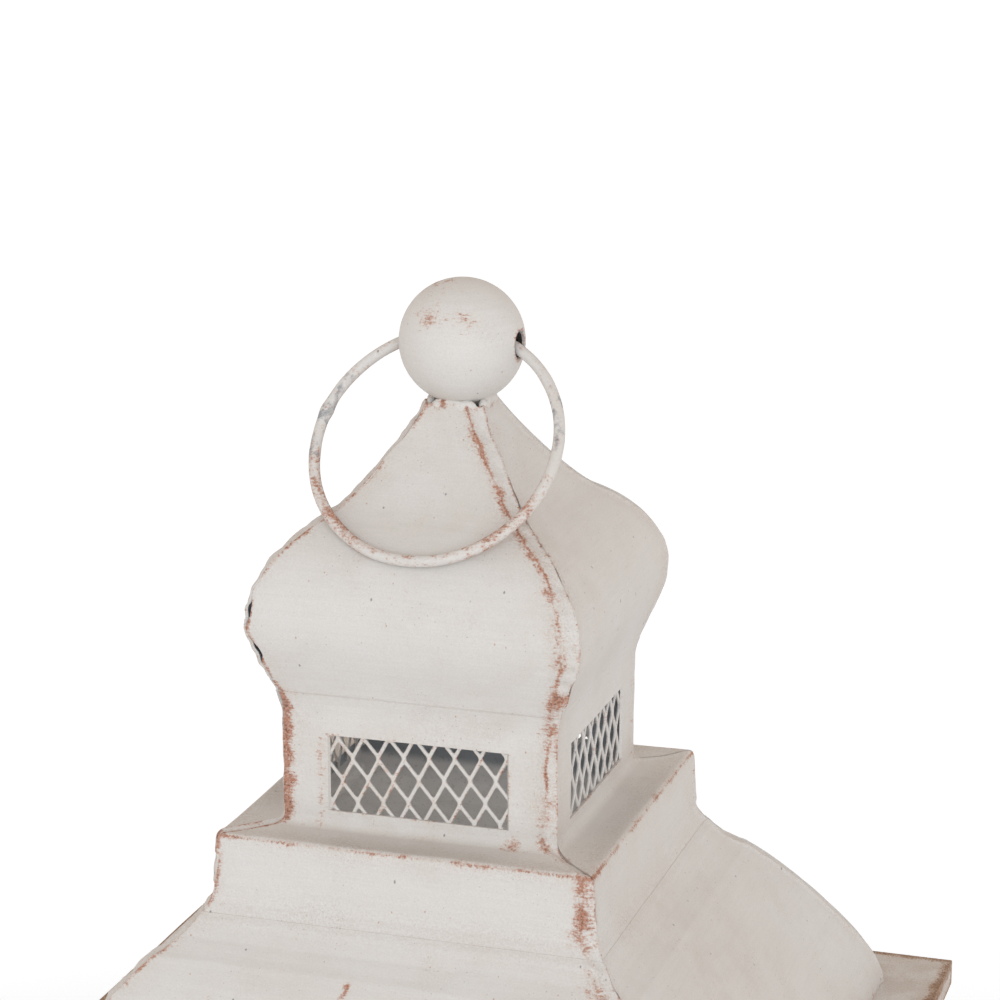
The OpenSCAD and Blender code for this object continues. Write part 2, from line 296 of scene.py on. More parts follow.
CREAM = (0.640, 0.603, 0.570)
CREAM_WARM = (0.610, 0.565, 0.520)
CREAM_COOL = (0.655, 0.628, 0.602)
# brown for dust and soil, also used for painted shade at the roof's foot
DUST_AND_SHADE = (0.36, 0.25, 0.18)
COARSE_SPECK = (0.16, 0.14, 0.13)
RUSTY_SPECK = (0.42, 0.21, 0.13)
FINE_SPECK = (0.25, 0.19, 0.16)
BLUSH = (0.590, 0.400, 0.315)
RUST = (0.430, 0.185, 0.112)
RUST_OLD = (0.32, 0.185, 0.100)
RUST_DARK = (0.125, 0.060, 0.042)
IRON = (0.22, 0.235, 0.255)
# painted shade and painted light for the roof's inside: darker up in the roof, paler low down where the
# windows let light in
INSIDE_SHADE_GREY = (0.340, 0.355, 0.375)
INSIDE_LIT_PALE = (0.78, 0.75, 0.73)
INSIDE_STAIN = (0.20, 0.205, 0.21)
INSIDE_SPECK = (0.13, 0.10, 0.085)
ZINC_DARK = (0.36, 0.37, 0.38)
ZINC_LIGHT = (0.52, 0.53, 0.53)
ZINC_STAIN = (0.28, 0.25, 0.21)
GLASS_TINT = (0.984, 0.990, 0.987, 1)
GLASS_DARK = (0.62, 0.68, 0.67)
GLASS_LIGHT = (0.72, 0.74, 0.72)


def painted(name, bump=1.0, tired=0.0, stain=0.0, rust_color=RUST):
    """Off-white paint, dry-brushed, rubbed through to rust where the mesh's wear attribute is high.

    The lie attribute turns the brush strokes: 0 on upright edges, 1 on level ones. Soil adds brown dust,
    and at the roof's foot painted shade as well, and bare shows iron. Tired adds wear all over, and stain
    adds brown clouds. Noise scales are per mm.
    """
    g = Graph(name)
    p = g.place()
    wear = g.plus(g.attribute("wear"), tired)
    lie = g.attribute("lie")
    # the paint
    clouds = g.noise(p, 0.016, detail=3)
    blotch = g.noise(p, 0.085, detail=4, roughness=0.6)
    brushed = g.noise(g.place((0.05, 0.05, 1.3)), 1.0, detail=3, roughness=0.6)
    grain = g.noise(p, 1.9, detail=3, roughness=0.6)
    paint = g.mix(CREAM_WARM, CREAM_COOL, g.step(clouds, 0.3, 0.72))
    paint = g.mix(paint, CREAM, g.step(blotch, 0.35, 0.7))
    shade = g.plus(g.times(brushed, 0.10), g.times(grain, 0.26))
    shade = g.plus(shade, 0.82)
    tint = g.add("ShaderNodeHueSaturation")
    g.feed(tint.inputs["Color"], paint)
    g.feed(tint.inputs["Value"], shade)
    paint = tint.outputs[0]
    # soil, with painted shade at the roof's foot, and specks
    soil = g.attribute("soil")
    dust = g.noise(p, 1.4, detail=4, roughness=0.8)
    drift = g.noise(g.place((1, 1, 1), (50, 9, 2)), 0.045, detail=3)
    dust_and_shade = g.plus(g.times(soil, 0.30), g.times(g.step(drift, 0.5, 0.72), 0.16))
    dust_and_shade = g.times(dust_and_shade, g.step(dust, 0.42, 0.62))
    if stain:
        dust_and_shade = g.plus(dust_and_shade, g.step(blotch, 0.36, 0.66, stain * 0.15, stain))
    paint = g.mix(paint, DUST_AND_SHADE, dust_and_shade)
    coarse = g.specks(g.place((1.5, 1.5, 0.8), (4, 4, 4)), 0.13, 0.085, 0.42)
    medium = g.specks(g.place((1, 1, 0.7), (3, 7, 5)), 0.26, 0.090, 0.24)
    fine = g.specks(g.place((1, 1, 1), (11, 2, 8)), 0.75, 0.19, 0.24)
    fine = g.times(fine, g.step(drift, 0.40, 0.58))
    paint = g.mix(paint, COARSE_SPECK, g.times(coarse, 0.7))
    paint = g.mix(paint, RUSTY_SPECK, g.times(medium, 0.65))
    paint = g.mix(paint, FINE_SPECK, g.times(fine, 0.55))
    # rubbed-through edges
    upright = g.noise(g.place((0.42, 0.42, 1.7)), 1.0, detail=4, roughness=0.7)
    level = g.noise(g.place((1.7, 1.7, 0.42)), 1.0, detail=4, roughness=0.7)
    strokes = g.plus(g.times(upright, g.minus(1.0, lie)), g.times(level, lie))
    patches = g.noise(p, 0.19, detail=5, roughness=0.65)
    scuffs = g.noise(p, 1.1, detail=4, roughness=0.75)
    ragged = g.plus(g.times(strokes, 1.5), g.times(patches, 1.4))
    ragged = g.plus(ragged, g.times(scuffs, 1.3))
    field = g.plus(wear, g.minus(ragged, 2.1))
    halo = g.step(field, 0.26, 0.66)
    worn = g.step(field, 0.42, 0.90)
    deep = g.step(field, 0.85, 1.25)
    rust_tone = g.noise(p, 1.3, detail=4, roughness=0.75)
    dark_share = g.times(g.step(rust_tone, 0.43, 0.64), g.plus(0.55, deep), clamp=True)
    rust = g.mix(rust_color, RUST_DARK, dark_share)
    color = g.mix(paint, BLUSH, g.times(halo, 0.38))
    color = g.mix(color, rust, g.times(worn, g.step(scuffs, 0.25, 0.6, 0.55, 0.95)))
    bare = g.plus(g.attribute("bare"), g.minus(g.noise(p, 0.45, detail=4), 0.5))
    bare = g.step(bare, 0.36, 0.66)
    color = g.mix(color, IRON, g.times(bare, g.step(scuffs, 0.3, 0.65, 0.35, 0.95)))
    # relief
    relief = g.bump(grain, 0.05, 0.35 * bump)
    relief = g.bump(brushed, 0.06, 0.25 * bump, relief)
    relief = g.bump(g.minus(1.0, worn), 0.09, 0.6 * bump, relief)
    rough = g.plus(g.times(worn, 0.22), g.plus(0.50, g.times(blotch, 0.12)))
    g.done(color=color, roughness=rough, specular=0.28, normal=relief)
    return g.material


def inside_paint():
    """The unpainted inside of the roof, light and shade painted in: darker down to the collar's foot, paler
    below it.
    """
    g = Graph("inside_grey")
    p = g.place()
    tone = g.noise(p, 0.03, detail=4)
    fine = g.noise(p, 0.8, detail=3)
    height = g.add("ShaderNodeSeparateXYZ")
    g.feed(height.inputs[0], p)
    # painted light: paler below the collar's foot, where light comes in through the windows; painted shade
    # above it
    low = g.step(height.outputs["Z"], SHELF_Z + COLLAR_LOW[1] + 6, SHELF_Z + COLLAR_LOW[1] + 2)
    color = g.mix(INSIDE_SHADE_GREY, INSIDE_LIT_PALE, low)
    color = g.mix(color, INSIDE_STAIN, g.times(g.step(tone, 0.35, 0.7), 0.15))
    color = g.mix(color, INSIDE_SPECK, g.times(g.step(fine, 0.55, 0.75), 0.3))
    rough = g.plus(0.42, g.times(fine, 0.2))
    g.done(color=color, roughness=rough, metallic=0.1, specular=0.08, normal=g.bump(fine, 0.05, 0.3))
    return g.material


def zinc():
    """Dull galvanised steel with faint spangle and stains."""
    g = Graph("bare_zinc")
    p = g.place()
    _, spangle = g.cells(g.place((1, 1, 0.7)), 0.22)
    stain = g.noise(p, 0.07, detail=4)
    fine = g.noise(p, 1.6, detail=3)
    color = g.mix(ZINC_DARK, ZINC_LIGHT, spangle)
    color = g.mix(color, ZINC_STAIN, g.times(g.step(stain, 0.52, 0.75), 0.55))
    rust = g.step(g.plus(g.attribute("wear"), g.noise(p, 0.7, detail=4)), 0.95, 1.15)
    color = g.mix(color, RUST, g.times(rust, 0.6))
    rough = g.plus(0.34, g.times(fine, 0.25))
    metal = g.minus(0.85, g.times(rust, 0.6))
    g.done(color=color, roughness=rough, metallic=metal, specular=0.5, normal=g.bump(fine, 0.03, 0.4))
    return g.material


def clear_glass():
    """A thin pane: light goes straight through, with a soft reflection that grows at grazing angles."""
    g = Graph("clear_glass")
    p = g.place()
    dust = g.noise(p, 0.05, detail=4)
    through = g.add("ShaderNodeBsdfTransparent")
    through.inputs[0].default_value = GLASS_TINT
    shine = g.add("ShaderNodeBsdfPrincipled")
    g.feed(shine.inputs["Base Color"], g.mix(GLASS_DARK, GLASS_LIGHT, dust))
    g.feed(shine.inputs["Roughness"], g.plus(0.04, g.times(dust, 0.06)))
    shine.inputs["IOR"].default_value = 1.5
    ripple = g.noise(g.place((0.02, 0.02, 0.012)), 1.0, detail=1)
    g.feed(shine.inputs["Normal"], g.bump(ripple, 0.6, 0.15))
    facing = g.add("ShaderNodeLayerWeight")
    facing.inputs["Blend"].default_value = 0.5
    grazing = g.times(g.math("POWER", facing.outputs["Facing"], 4.0), 0.60)
    film = g.times(g.step(dust, 0.45, 0.8), 0.025)
    share = g.plus(g.plus(grazing, 0.035), film)
    blend = g.add("ShaderNodeMixShader")
    g.feed(blend.inputs[0], share)
    g.tree.links.new(through.outputs[0], blend.inputs[1])
    g.tree.links.new(shine.outputs[0], blend.inputs[2])
    out = g.add("ShaderNodeOutputMaterial")
    g.tree.links.new(blend.outputs[0], out.inputs[0])
    return g.material


PAINT = painted("sheet_paint")
PAINT_PLATE = painted("plate_paint", stain=0.30, rust_color=RUST_OLD)
PAINT_WIRE = painted("wire_paint", bump=0.8, tired=0.04)
PAINT_FITTING = painted("fitting_paint", bump=1.2, tired=0.02)
INSIDE = inside_paint()
ZINC = zinc()
GLASS = clear_glass()
FINISH = {"painted_sheet": PAINT, "painted_wire": PAINT_WIRE, "painted_fitting": PAINT_FITTING,
          "bare_zinc": ZINC, "clear_glass": GLASS}
SLOT_OF = {part["node"]: part["material_slot"] for part in frame["record"]["subparts"]}
BODY_OF = {node: body for body, members in frame["record"]["behaviour"]["bodies"].items() for node in members}


# ---------------------------------------------------------------- making pieces

def clamp(value, low=0.0, high=1.0):
    return max(low, min(high, value))


def ease(value):
    """A smooth step from 0 to 1."""
    t = clamp(value)
    return t * t * (3 - 2 * t)


def wave(seed, a, b=0.0):
    """Smooth noise from -1 to 1, the same on every run."""
    return noise.noise(Vector((a + 31.7 * seed, b - 17.3 * seed, 4.1 * seed)))


def streak(distance, width):
    """1 at no distance, fading out over a width."""
    return math.exp(-(distance / width) ** 2)


def turned_to_side(k):
    return Matrix.Rotation(math.radians(90 * k), 3, "Z")


def make_piece(name, points, faces, materials, face_slots=None, smooth_angle=30, **attributes):
    """A mesh object from points in millimetres, with its paint attributes given per point."""
    mesh = bpy.data.meshes.new(name)
    mesh.from_pydata([tuple(c * MM for c in p) for p in points], [], faces)
    for material in materials:
        mesh.materials.append(material)
    if face_slots:
        mesh.polygons.foreach_set("material_index", face_slots)
    for key in ("wear", "lie", "bare", "soil"):
        values = attributes.get(key)
        layer = mesh.attributes.new(key, "FLOAT", "POINT")
        if values:
            layer.data.foreach_set("value", values)
    mesh.polygons.foreach_set("use_smooth", [True] * len(mesh.polygons))
    mesh.set_sharp_from_angle(angle=math.radians(smooth_angle))
    mesh.validate()
    mesh.update()
    piece = bpy.data.objects.new(name, mesh)
    bpy.context.scene.collection.objects.link(piece)
    return piece


def stand_for(piece, node):
    """The piece rides on the node's body and is shown in its place, the node being hidden."""
    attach(piece, BODY_OF[node])
    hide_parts(node)


# ---------------------------------------------------------------- roof panels

def bezier(a, b, c, d, n):
    """n points on from a, along a cubic curve to d."""
    points = []
    for i in range(1, n + 1):
        t = i / n
        u = 1 - t
        pulls = (u ** 3, 3 * u * u * t, 3 * u * t * t, t ** 3)
        points.append(tuple(sum(pull * p[q] for pull, p in zip(pulls, (a, b, c, d))) for q in (0, 1)))
    return points


def arc(centre, radius, start, end, n):
    angles = [math.radians(start + (end - start) * i / n) for i in range(n + 1)]
    return [(centre[0] + radius * math.cos(a), centre[1] + radius * math.sin(a)) for a in angles]


def line(a, b, n):
    """n points on from a, along a straight line to b."""
    return [(a[0] + (b[0] - a[0]) * i / n, a[1] + (b[1] - a[1]) * i / n) for i in range(1, n + 1)]


# how far apart the two rows of a sharp fold are
FOLD_H = 0.14


def roof_rows():
    """The roof's outline from the neck down, as half width and height above the shelf."""
    head = SILL + WINDOW_H
    rows = [NECK]
    rows += bezier(NECK, (15.6, 121.9), (29.2, 103.3), SHOULDER, 34)
    rows += bezier(SHOULDER, (51.5, 88.9), (55.3, 76.1), SWELL, 30)
    rows += bezier(SWELL, (55.3, 57.6), (46.0, 47.3), BOX_TOP, 36)
    rows += line(BOX_TOP, (BOX_TOP[0], head), 5)
    rows += line((BOX_TOP[0], head), (BOX_TOP[0], SILL), 18)
    rows += line((BOX_TOP[0], SILL), (BOX_TOP[0], COVE_R + 0.4), 1)
    rows += arc((BOX_TOP[0] + COVE_R, COVE_R), COVE_R, 180, 270, 6)
    shelf_from = BOX_TOP[0] + COVE_R
    shelf_to = SHELF_HW - EDGE_R
    for r, _ in line((shelf_from, 0), (shelf_to, 0), 9)[:-1]:
        rows.append((r, -SHELF_DIP * math.sin(math.pi * (r - shelf_from) / (shelf_to - shelf_from)) ** 1.3))
    rows += arc((shelf_to, -EDGE_R), EDGE_R, 90, 0, 7)
    rows += line((SHELF_HW, -EDGE_R), COLLAR_LOW, 16)
    rows += bezier(COLLAR_LOW, (64.0, -21.4), (67.3, -28.4), KNEE, 24)
    rows += bezier(KNEE, (89.0, -45.3), (121.0, -87.6), FOOT, 46)
    for height in (CREASE_Z, COLLAR_BEND_Z):
        at = next(i for i, row in enumerate(rows) if row[1] < height)
        (r1, h1), (r2, h2) = rows[at - 1], rows[at]
        fold = (height + FOLD_H / 2, height - FOLD_H / 2)
        rows[at:at] = [(r1 + (r2 - r1) * (h1 - h) / (h1 - h2), h) for h in fold]
    return rows


ROWS = roof_rows()
RUN = [0.0]
for one, two in zip(ROWS, ROWS[1:]):
    RUN.append(RUN[-1] + math.dist(one, two))


def run_where(found):
    """Distance down the outline to the first row that fits."""
    return next(run for run, row in zip(RUN, ROWS) if found(*row))


RUN_SWELL = run_where(lambda r, h: r >= SWELL[0] - 0.1)
RUN_CREASE = run_where(lambda r, h: h <= CREASE_Z)
RUN_FOOT = run_where(lambda r, h: h <= 0.6)
RUN_EDGE = run_where(lambda r, h: r >= SHELF_HW - 0.6)
RUN_COLLAR_LOW = run_where(lambda r, h: h <= COLLAR_LOW[1])
RUN_BEND = run_where(lambda r, h: h <= COLLAR_BEND_Z)
RUN_KNEE = run_where(lambda r, h: h <= KNEE[1])
# a panel's columns: close together by the left ridge and on the folded band, shares of the width between
EDGE_OFFSETS = (0.0, 0.35, 0.8, 1.4, 2.1, 3.0, 4.0, 5.2, 6.5, 8.0)
BAND_SHARES = (0.0, 0.07, 0.16, 0.3, 0.5, 0.7, 0.86, 1.0, 1.08, 1.22, 1.5, 2.0)
WINDOW_SHARE = WINDOW_HW / (BOX_TOP[0] - EDGE_OFFSETS[-1])
MIDDLE = (0.92, 0.86, 0.824, WINDOW_SHARE, 0.68, 0.55, 0.42, 0.28, 0.20, 0.18, 0.16, 0.14, 0.12)
COLUMNS = ([("left", o) for o in EDGE_OFFSETS] + [("middle", -t) for t in MIDDLE] + [("middle", 0.0)]
           + [("middle", t) for t in reversed(MIDDLE)] + [("right", s) for s in reversed(BAND_SHARES)])


def across(k, run, r, column):
    """x of a column of panel k where its half width is r. The right columns follow the folded band."""
    kind, value = column
    widest = EDGE_OFFSETS[-1]
    if kind == "middle":
        return value * (r - widest)
    if kind == "left":
        return value - r
    band = band_width(k, run)
    return r - (value * band if value <= 1 else band + (value - 1) * (widest - band))


def outward(i):
    """The outline's outward normal at row i, as half width and height."""
    one, two = ROWS[max(i - 1, 0)], ROWS[min(i + 1, len(ROWS) - 1)]
    dr, dh = two[0] - one[0], two[1] - one[1]
    size = math.hypot(dr, dh)
    return -dh / size, dr / size


# how uneven each corner's ridge is, and how rubbed the right edge and the left edge that meet there are
RIDGE_LIFE = (1.0, 0.18, 0.6, 1.0)
RIGHT_RUB = (1.0, 0.22, 0.7, 0.45)
LEFT_RUB = (0.55, 0.22, 0.7, 1.15)
# how deep the fold at the cap's foot is on each side
CREASE_DEPTH = (1.0, 0.12, 0.12, 0.7)


def plain_edge(run):
    """1 on the cap and the lower roof, less on the straight box, shelf and collar."""
    return 0.35 if RUN_CREASE - 4 < run < RUN_EDGE + 6 else 1.0


def ridge_wobble(corner, run):
    """How far the ridge at a corner stands out from its true line."""
    life = RIDGE_LIFE[corner] * plain_edge(run)
    return life * (0.8 * wave(11 + corner, run / 11) + 0.55 * wave(21 + corner, run / 4.2))


def band_width(corner, run):
    """Width of the folded band along the ridge."""
    narrow = 1.8 * streak(run - RUN_CREASE, 14)
    width = 4.6 + 1.7 * wave(31 + corner, run / 15) + 1.0 * wave(41 + corner, run / 5.5) - narrow
    return clamp(width, 2.2, 6.6) * (0.72 if RUN_CREASE < run < RUN_COLLAR_LOW else 1.0)


def band_drop(run):
    """How far the band slopes back from its crest to its edge."""
    return 1.15 * plain_edge(run)


def seam_gap(corner, run):
    """How far the lower sheet ends short of the ridge."""
    slit = 0.7 * streak(run - RUN_FOOT, 3.0)
    if corner == 3:
        slit += 1.9 * streak(run - RUN_SWELL - 9, 26) * clamp(0.55 + 1.1 * wave(57, run / 7))
    ragged = 1.3 * max(0.0, wave(51 + corner, run / 8.5) + 0.05) * plain_edge(run) * RIDGE_LIFE[corner]
    return 0.10 + 0.85 * band_drop(run) + ragged + slit


def edge_lip(corner, run):
    """How far the folded band's edge runs past the ridge."""
    return plain_edge(run) * RIDGE_LIFE[corner] * (0.35 + 0.8 * wave(55 + corner, run / 6.5))


# faint lines where the brake bent the lower roof: distance below the collar, and height
BRAKE_LINES = ((4.0, -0.22), (10.5, 0.30), (17.0, -0.26), (25.0, 0.26))
# how far the sheet's own unevenness stands out, and how far in from a ridge each kind reaches
DENT_H = 0.42
CREASE_H = 0.34
COLLAR_FOLD_H = 0.10
CREST_H = 0.55
LUMP_H = 0.8
DENT_REACH = 16
BAND_REACH = 16
RIDGE_REACH = 11
GAP_REACH = 4
LIP_REACH = 3


def bend(past, height, reach):
    """A bend in the sheet: sunk above it and standing out below it."""
    return height * math.exp(-past / reach) if past >= 0 else -height * math.exp(past / reach)


def panel_lift(k, run, x, from_right, from_left):
    """How far a panel's outer surface stands out from its plain outline."""
    lift = DENT_H * wave(k, x / 30, run / 34) * ease(min(from_right, from_left) / DENT_REACH)
    lift += bend(run - RUN_CREASE, CREASE_H * CREASE_DEPTH[k], 6) + bend(run - RUN_BEND, COLLAR_FOLD_H, 2.5)
    lift += sum(height * streak(run - RUN_COLLAR_LOW - at, 1.2) for at, height in BRAKE_LINES)
    if from_right < BAND_REACH:
        band = band_width(k, run)
        lump = LUMP_H * wave(131 + k, run / 3.4, from_right / 5) * (1 - ease((from_right - band) / 3))
        lift += CREST_H * streak(from_right - band, 1.3) + lump * plain_edge(run) * RIDGE_LIFE[k]
        lift -= band_drop(run) * (1 - ease(from_right / band))
    return lift


def panel_point(k, i, column, depth):
    """A point of panel k on row i, depth below the outer surface, in the front's own terms."""
    r, h = ROWS[i]
    run = RUN[i]
    nr, nh = outward(i)
    px = across(k, run, r - depth * nr, column)
    corner_right, corner_left = k, (k + 3) % 4
    flat_x = across(k, run, r, column)
    from_right, from_left = r - flat_x, r + flat_x
    lift = panel_lift(k, run, px, from_right, from_left) - depth
    pr, ph = r + lift * nr, h + lift * nh
    for side, corner, distance in ((1, corner_right, from_right), (-1, corner_left, from_left)):
        share = 1 - ease(distance / RIDGE_REACH)
        bulge = ridge_wobble(corner, run) * share * math.sqrt(0.5)
        px += side * bulge
        pr += bulge
    if from_left < GAP_REACH:
        px += seam_gap(corner_left, run) * (1 - ease(from_left / GAP_REACH))
    if from_right < LIP_REACH:
        px += edge_lip(corner_right, run) * (1 - ease(from_right / LIP_REACH))
    return Vector((px, -pr, SHELF_Z + ph))


def on_wall(run):
    """1 on the vent box's wall."""
    return ease((run - RUN_CREASE + 3) / 5) * ease((RUN_FOOT + 2 - run) / 4)


def ridge_wear(k, run, from_right, from_left):
    """Wear along a panel's upright edges: on the right the folded band's crest and rim, on the left the
    seam, and beside both the flat strips of the vent box and the collar."""
    wall = on_wall(run)
    collar = ease((run - RUN_EDGE) / 4) * ease((RUN_COLLAR_LOW + 8 - run) / 6)
    upper = 1 - ease((run - 55) / 12)
    off_crest = from_right - band_width(k, run)
    crest = 0.64 + 0.26 * upper + (1.05 - 0.6 * upper) * wave(61 + k, run / 13)
    crest *= streak(off_crest, 0.95) * (1 - 0.2 * wall)
    knot = 0.75 * streak(off_crest, 2.0) * streak(run - RUN_COLLAR_LOW - 3, 6)
    brushed = 0.52 + 0.08 * upper + (0.85 - 0.5 * upper) * wave(63 + k, run / 8)
    brushed *= streak(off_crest - 0.6, 3.2 - 0.8 * upper)
    rim = (0.60 + 0.45 * wave(71 + k, run / 11)) * streak(from_right, 0.9)
    box_right = wall * 0.38 * (1 - ease((from_right - 1.0) / 3.5))
    collar_right = 0.52 * collar * (1 - ease((from_right - 1.0) / 8))
    right = RIGHT_RUB[k] * max(crest, knot, brushed, rim, box_right, collar_right)
    corner_left = (k + 3) % 4
    seam = (0.50 + 0.45 * wave(81 + corner_left, run / 12)) * streak(from_left, 2.3)
    box_left = wall * (0.84 if k == 0 else 0.40) * (1 - ease((from_left - 1.2) / 5.5))
    collar_left = 0.68 * collar * streak(from_left, 3.0)
    left = LEFT_RUB[corner_left] * max(seam, box_left, collar_left)
    return max(right, left)


def level_wear(k, run, x, from_ridge):
    """Wear along a panel's level edges and folds, strongest on the shelf's edge by its corners."""
    patch = wave(91 + k, x / 11)
    at_corner = streak(from_ridge, 8)
    edge = (0.60 + 0.4 * patch + 0.45 * at_corner) * streak(run - RUN_EDGE, 0.8)
    by_edge = (0.24 + 0.4 * patch + 0.25 * at_corner) * streak(run - RUN_EDGE, 2.6)
    foot = (0.12 + 0.35 * wave(95 + k, x / 9)) * streak(run - RUN_FOOT, 1.6)
    neck = 0.62 * streak(run, 2.2)
    bottom = (0.42 + 0.4 * wave(97 + k, x / 14)) * streak(run - RUN[-1], 2.5)
    crease = (0.04 + 0.38 * wave(99 + k, x / 15)) * streak(run - RUN_CREASE, 1.4)
    return max(edge, by_edge, foot, neck, bottom, crease)


def window_wear(k, x, h):
    """Wear round a window's rim; the front also has a smudge at one corner and a strip down one side."""
    beside, beyond = abs(x) - WINDOW_HW, max(SILL - h, h - SILL - WINDOW_H)
    rim = (0.26 + 0.3 * wave(101 + k, x / 7, h / 7)) * streak(math.hypot(max(beside, 0), max(beyond, 0)), 1.0)
    if k != 0:
        return rim
    smudge = 0.85 * streak(math.hypot(x - WINDOW_HW - 2.2, h - 1.5), 2.8)
    strip = 0.48 * streak(x + WINDOW_HW + 2.2, 1.6) * ease((SILL + WINDOW_H + 1 - h) / 3)
    return max(rim, smudge, strip)


def drip_wear(run, x):
    """A short slanted scrape below the front's knee."""
    past = run - RUN_KNEE
    return 0.80 * streak(x + 11 + 0.25 * past, 1.5) * ease((past + 4) / 9) * ease((15 - past) / 6)


def panel_marks(k, i, column):
    """At a point: how rubbed the paint is, whether strokes lie level, and its soil, with painted shade at the
    roof's foot.
    """
    r, h = ROWS[i]
    run = RUN[i]
    x = across(k, run, r, column)
    from_right, from_left = r - x, r + x
    upright = ridge_wear(k, run, from_right, from_left)
    level = level_wear(k, run, x, min(from_right, from_left))
    window = window_wear(k, x, h) if on_wall(run) > 0 else 0.0
    drip = drip_wear(run, x) if k == 0 else 0.0
    lie = level / (upright + level + 0.02)
    # brown soil along the ridges, on the shelf and below the collar; at the roof's foot also painted shade
    # where the roof meets the eave plate
    soil = max(0.8 * streak(from_right - band_width(k, run), 5), 0.6 * streak(from_left, 6),
               streak(run - RUN_EDGE + 3.5, 7), 0.5 * streak(run - RUN[-1], 14),
               0.6 * streak(run - RUN_COLLAR_LOW - 6, 8))
    return clamp(max(upright, level, window, drip)), clamp(lie), clamp(soil)


def in_window(i, j):
    """Whether the cell below row i and after column j is open."""
    (kind, one), (next_kind, two) = COLUMNS[j], COLUMNS[j + 1]
    if kind != "middle" or next_kind != "middle" or ROWS[i][0] != BOX_TOP[0]:
        return False
    high, low = ROWS[i][1], ROWS[i + 1][1]
    near = max(abs(one), abs(two)) <= WINDOW_SHARE + 0.001
    return near and high <= SILL + WINDOW_H + 0.01 and low >= SILL - 0.01


def roof_panel(k):
    """One side's bent sheet, from the neck to the foot of the roof, with its window cut out."""
    rows, columns = len(ROWS), len(COLUMNS)
    turn = turned_to_side(k)
    points = [turn @ panel_point(k, i, column, depth)
              for depth in (0.0, SHEET) for i in range(rows) for column in COLUMNS]
    marks = [panel_marks(k, i, column) for i in range(rows) for column in COLUMNS] * 2

    def outer(i, j):
        return i * columns + j

    def inner(i, j):
        return rows * columns + outer(i, j)

    def is_sheet(i, j):
        return 0 <= i < rows - 1 and 0 <= j < columns - 1 and not in_window(i, j)

    faces, slots = [], []
    for i in range(rows - 1):
        for j in range(columns - 1):
            if not is_sheet(i, j):
                continue
            faces.append((outer(i, j), outer(i + 1, j), outer(i + 1, j + 1), outer(i, j + 1)))
            faces.append((inner(i, j), inner(i, j + 1), inner(i + 1, j + 1), inner(i + 1, j)))
            slots += [0, 1]
            rims = (((i - 1, j), (i, j + 1), (i, j)), ((i + 1, j), (i + 1, j), (i + 1, j + 1)),
                    ((i, j - 1), (i, j), (i + 1, j)), ((i, j + 1), (i + 1, j + 1), (i, j + 1)))
            for beyond, a, b in rims:
                if not is_sheet(*beyond):
                    faces.append((outer(*b), inner(*b), inner(*a), outer(*a)))
                    slots.append(0)
    wear, lie, soil = ([mark[q] for mark in marks] for q in range(3))
    piece = make_piece(f"roof_sheet_{SIDES[k]}", points, faces, [PAINT, INSIDE], slots,
                       wear=wear, lie=lie, soil=soil)
    stand_for(piece, f"roof_panel_{SIDES[k]}")


# ---------------------------------------------------------------- expanded metal

STRAND_W = 1.3
STRAND_T = 1.0
STRAND_TWIST = 20
STRAND_LAP = 0.35
KNUCKLE = 0.9
MESH_DEPTH = 44.7
MESH_VOXEL = 0.33
# rows and columns of diamonds each side of the middle, enough to cover the sheet when it is turned
ROWS_OUT = 6
COLUMNS_OUT = 7


def spun(x, z, angle):
    """A point turned about the window's middle."""
    c, s = math.cos(angle), math.sin(angle)
    return x * c - z * s, x * s + z * c


def clipped(a, b, half_x, half_z):
    """The part of the line a-b inside a rectangle about the origin, or None."""
    start, end = 0.0, 1.0
    for q, half in ((0, half_x), (1, half_z)):
        delta = b[q] - a[q]
        if abs(delta) < 1e-9:
            if abs(a[q]) > half:
                return None
            continue
        t1, t2 = sorted(((-half - a[q]) / delta, (half - a[q]) / delta))
        start, end = max(start, t1), min(end, t2)
    if end - start < 0.02:
        return None
    return tuple(tuple(a[q] + (b[q] - a[q]) * t for q in (0, 1)) for t in (start, end))


def beam(points, faces, a, b, width, thickness, twist):
    """A bar of rounded rectangular section from a to b, in x, depth and z."""
    along = (b - a).normalized()
    side = along.cross(Vector((0, 1, 0))).normalized()
    deep = along.cross(side)
    turn = Matrix.Rotation(math.radians(twist), 3, along)
    side, deep = turn @ side, turn @ deep
    first = len(points)
    section = [(w * width / 2, t * thickness / 2) for w, t in
               ((1, 0.55), (0.7, 1), (-0.7, 1), (-1, 0.55), (-1, -0.55), (-0.7, -1), (0.7, -1), (1, -0.55))]
    for end in (a - along * STRAND_LAP, b + along * STRAND_LAP):
        points.extend(end + side * w + deep * t for w, t in section)
    for q in range(8):
        faces.append((first + q, first + (q + 1) % 8, first + 8 + (q + 1) % 8, first + 8 + q))
    faces.append(tuple(first + q for q in reversed(range(8))))
    faces.append(tuple(first + 8 + q for q in range(8)))


def remeshed(name, points, faces):
    """One closed skin over overlapping solids, as points in millimetres and faces."""
    rough = make_piece(name + "_rough", points, faces, [])
    modifier = rough.modifiers.new("skin", "REMESH")
    modifier.mode = "VOXEL"
    modifier.voxel_size = MESH_VOXEL * MM
    softer = rough.modifiers.new("softer", "SMOOTH")
    softer.factor = 0.5
    softer.iterations = 2
    graph = bpy.context.evaluated_depsgraph_get()
    skin = rough.evaluated_get(graph).to_mesh()
    out = [v.co / MM for v in skin.vertices], [tuple(p.vertices) for p in skin.polygons]
    rough.evaluated_get(graph).to_mesh_clear()
    bpy.data.objects.remove(rough)
    return out


